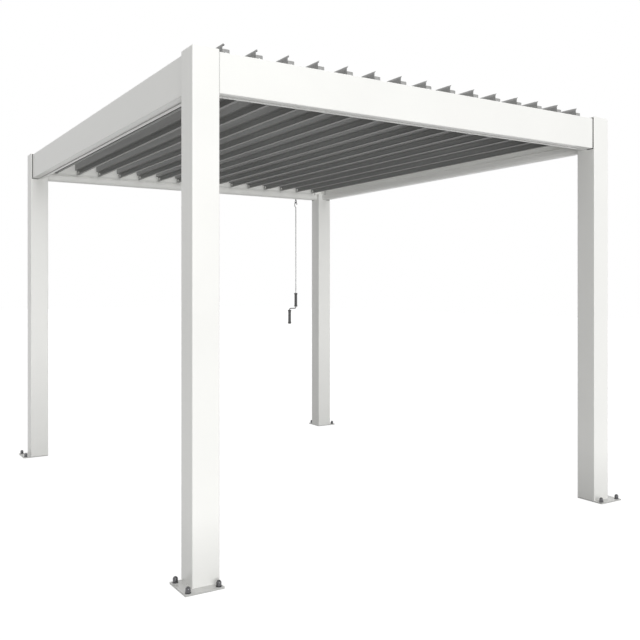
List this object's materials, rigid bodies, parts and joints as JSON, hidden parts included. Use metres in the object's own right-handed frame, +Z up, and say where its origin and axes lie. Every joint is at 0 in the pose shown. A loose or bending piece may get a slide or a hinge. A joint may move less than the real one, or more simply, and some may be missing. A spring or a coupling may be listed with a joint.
{
  "type": "louvred pergola",
  "caption": "Free-standing square-posted pergola with perimeter gutters and a roof of tilting louvres, turned by a hanging crank.",
  "frame": {"origin": "on the ground, at the middle of the foot plates", "axes": "+X to the right along the front beam, +Y to the back along the louvres, +Z up"},
  "size_m": [3.12, 3.72, 2.6359],
  "materials": {
    "white_frame": "white powder coat, semi-gloss",
    "foot_plate": "white powder-coated steel plate",
    "anchor": "dark grey domed nuts",
    "louvre": "mid-grey powder coat, satin",
    "bush": "white nylon",
    "link_bar": "white powder coat",
    "gearbox": "die-cast housing",
    "crank_steel": "bright zinc",
    "grip": "dark grey moulded plastic"
  },
  "bodies": {
    "frame": {"post_front_left": "white_frame", "post_front_right": "white_frame", "post_back_left": "white_frame", "post_back_right": "white_frame", "foot_plate_front_left": "foot_plate", "foot_plate_front_right": "foot_plate", "foot_plate_back_left": "foot_plate", "foot_plate_back_right": "foot_plate", "post_caps": "white_frame", "anchor_nuts": "anchor", "front_beam": "white_frame", "back_beam": "white_frame", "left_beam": "white_frame", "right_beam": "white_frame", "front_gutter": "white_frame", "back_gutter": "white_frame", "left_gutter": "white_frame", "right_gutter": "white_frame", "pivot_bushes_front": "bush", "pivot_bushes_back": "bush", "gearbox": "gearbox"},
    "louvre_01_body": {"louvre_01": "louvre"},
    "louvre_02_body": {"louvre_02": "louvre"},
    "louvre_03_body": {"louvre_03": "louvre"},
    "louvre_04_body": {"louvre_04": "louvre"},
    "louvre_05_body": {"louvre_05": "louvre"},
    "louvre_06_body": {"louvre_06": "louvre"},
    "louvre_07_body": {"louvre_07": "louvre"},
    "louvre_08_body": {"louvre_08": "louvre"},
    "louvre_09_body": {"louvre_09": "louvre"},
    "louvre_10_body": {"louvre_10": "louvre"},
    "louvre_11_body": {"louvre_11": "louvre"},
    "louvre_12_body": {"louvre_12": "louvre"},
    "louvre_13_body": {"louvre_13": "louvre"},
    "louvre_14_body": {"louvre_14": "louvre"},
    "louvre_15_body": {"louvre_15": "louvre"},
    "link": {"link_bar": "link_bar"},
    "crank": {"drive_eye": "crank_steel", "crank_rod": "crank_steel"},
    "upper_handle": {"upper_grip": "grip"},
    "lower_handle": {"lower_grip": "grip"}
  },
  "joints": [
    {"name": "louvre_tilt", "type": "hinge", "parent": "frame", "child": "louvre_14_body", "pos_m": [1.124, 0, 2.522], "axis": [0, 1, 0], "range_deg": [0, 90]},
    {"name": "louvre_01_tilt", "type": "hinge", "parent": "frame", "child": "louvre_01_body", "pos_m": [-1.281, 0, 2.522], "axis": [0, 1, 0], "range_deg": [0, 90]},
    {"name": "louvre_02_tilt", "type": "hinge", "parent": "frame", "child": "louvre_02_body", "pos_m": [-1.096, 0, 2.522], "axis": [0, 1, 0], "range_deg": [0, 90]},
    {"name": "louvre_03_tilt", "type": "hinge", "parent": "frame", "child": "louvre_03_body", "pos_m": [-0.911, 0, 2.522], "axis": [0, 1, 0], "range_deg": [0, 90]},
    {"name": "louvre_04_tilt", "type": "hinge", "parent": "frame", "child": "louvre_04_body", "pos_m": [-0.726, 0, 2.522], "axis": [0, 1, 0], "range_deg": [0, 90]},
    {"name": "louvre_05_tilt", "type": "hinge", "parent": "frame", "child": "louvre_05_body", "pos_m": [-0.541, 0, 2.522], "axis": [0, 1, 0], "range_deg": [0, 90]},
    {"name": "louvre_06_tilt", "type": "hinge", "parent": "frame", "child": "louvre_06_body", "pos_m": [-0.356, 0, 2.522], "axis": [0, 1, 0], "range_deg": [0, 90]},
    {"name": "louvre_07_tilt", "type": "hinge", "parent": "frame", "child": "louvre_07_body", "pos_m": [-0.171, 0, 2.522], "axis": [0, 1, 0], "range_deg": [0, 90]},
    {"name": "louvre_08_tilt", "type": "hinge", "parent": "frame", "child": "louvre_08_body", "pos_m": [0.014, 0, 2.522], "axis": [0, 1, 0], "range_deg": [0, 90]},
    {"name": "louvre_09_tilt", "type": "hinge", "parent": "frame", "child": "louvre_09_body", "pos_m": [0.199, 0, 2.522], "axis": [0, 1, 0], "range_deg": [0, 90]},
    {"name": "louvre_10_tilt", "type": "hinge", "parent": "frame", "child": "louvre_10_body", "pos_m": [0.384, 0, 2.522], "axis": [0, 1, 0], "range_deg": [0, 90]},
    {"name": "louvre_11_tilt", "type": "hinge", "parent": "frame", "child": "louvre_11_body", "pos_m": [0.569, 0, 2.522], "axis": [0, 1, 0], "range_deg": [0, 90]},
    {"name": "louvre_12_tilt", "type": "hinge", "parent": "frame", "child": "louvre_12_body", "pos_m": [0.754, 0, 2.522], "axis": [0, 1, 0], "range_deg": [0, 90]},
    {"name": "louvre_13_tilt", "type": "hinge", "parent": "frame", "child": "louvre_13_body", "pos_m": [0.939, 0, 2.522], "axis": [0, 1, 0], "range_deg": [0, 90]},
    {"name": "louvre_15_tilt", "type": "hinge", "parent": "frame", "child": "louvre_15_body", "pos_m": [1.309, 0, 2.522], "axis": [0, 1, 0], "range_deg": [0, 90]},
    {"name": "link_pivot", "type": "hinge", "parent": "louvre_14_body", "child": "link", "pos_m": [1.128, 0, 2.444], "axis": [0, 1, 0], "range_deg": [-90, 0]},
    {"name": "crank_turn", "type": "hinge", "parent": "frame", "child": "crank", "pos_m": [1.144, 1.763, 2], "axis": [0, 0, 1], "continuous": true},
    {"name": "upper_grip_spin", "type": "hinge", "parent": "crank", "child": "upper_handle", "pos_m": [1.144, 1.763, 1.3], "axis": [0, 0, 1], "continuous": true},
    {"name": "lower_grip_spin", "type": "hinge", "parent": "crank", "child": "lower_handle", "pos_m": [1.07, 1.763, 1.14], "axis": [0, 0, 1], "continuous": true}
  ],
  "couplings": [
    {"joint": "louvre_01_tilt", "follows": "louvre_tilt", "ratio": 1},
    {"joint": "louvre_02_tilt", "follows": "louvre_tilt", "ratio": 1},
    {"joint": "louvre_03_tilt", "follows": "louvre_tilt", "ratio": 1},
    {"joint": "louvre_04_tilt", "follows": "louvre_tilt", "ratio": 1},
    {"joint": "louvre_05_tilt", "follows": "louvre_tilt", "ratio": 1},
    {"joint": "louvre_06_tilt", "follows": "louvre_tilt", "ratio": 1},
    {"joint": "louvre_07_tilt", "follows": "louvre_tilt", "ratio": 1},
    {"joint": "louvre_08_tilt", "follows": "louvre_tilt", "ratio": 1},
    {"joint": "louvre_09_tilt", "follows": "louvre_tilt", "ratio": 1},
    {"joint": "louvre_10_tilt", "follows": "louvre_tilt", "ratio": 1},
    {"joint": "louvre_11_tilt", "follows": "louvre_tilt", "ratio": 1},
    {"joint": "louvre_12_tilt", "follows": "louvre_tilt", "ratio": 1},
    {"joint": "louvre_13_tilt", "follows": "louvre_tilt", "ratio": 1},
    {"joint": "louvre_15_tilt", "follows": "louvre_tilt", "ratio": 1},
    {"joint": "link_pivot", "follows": "louvre_tilt", "ratio": -1}
  ]
}
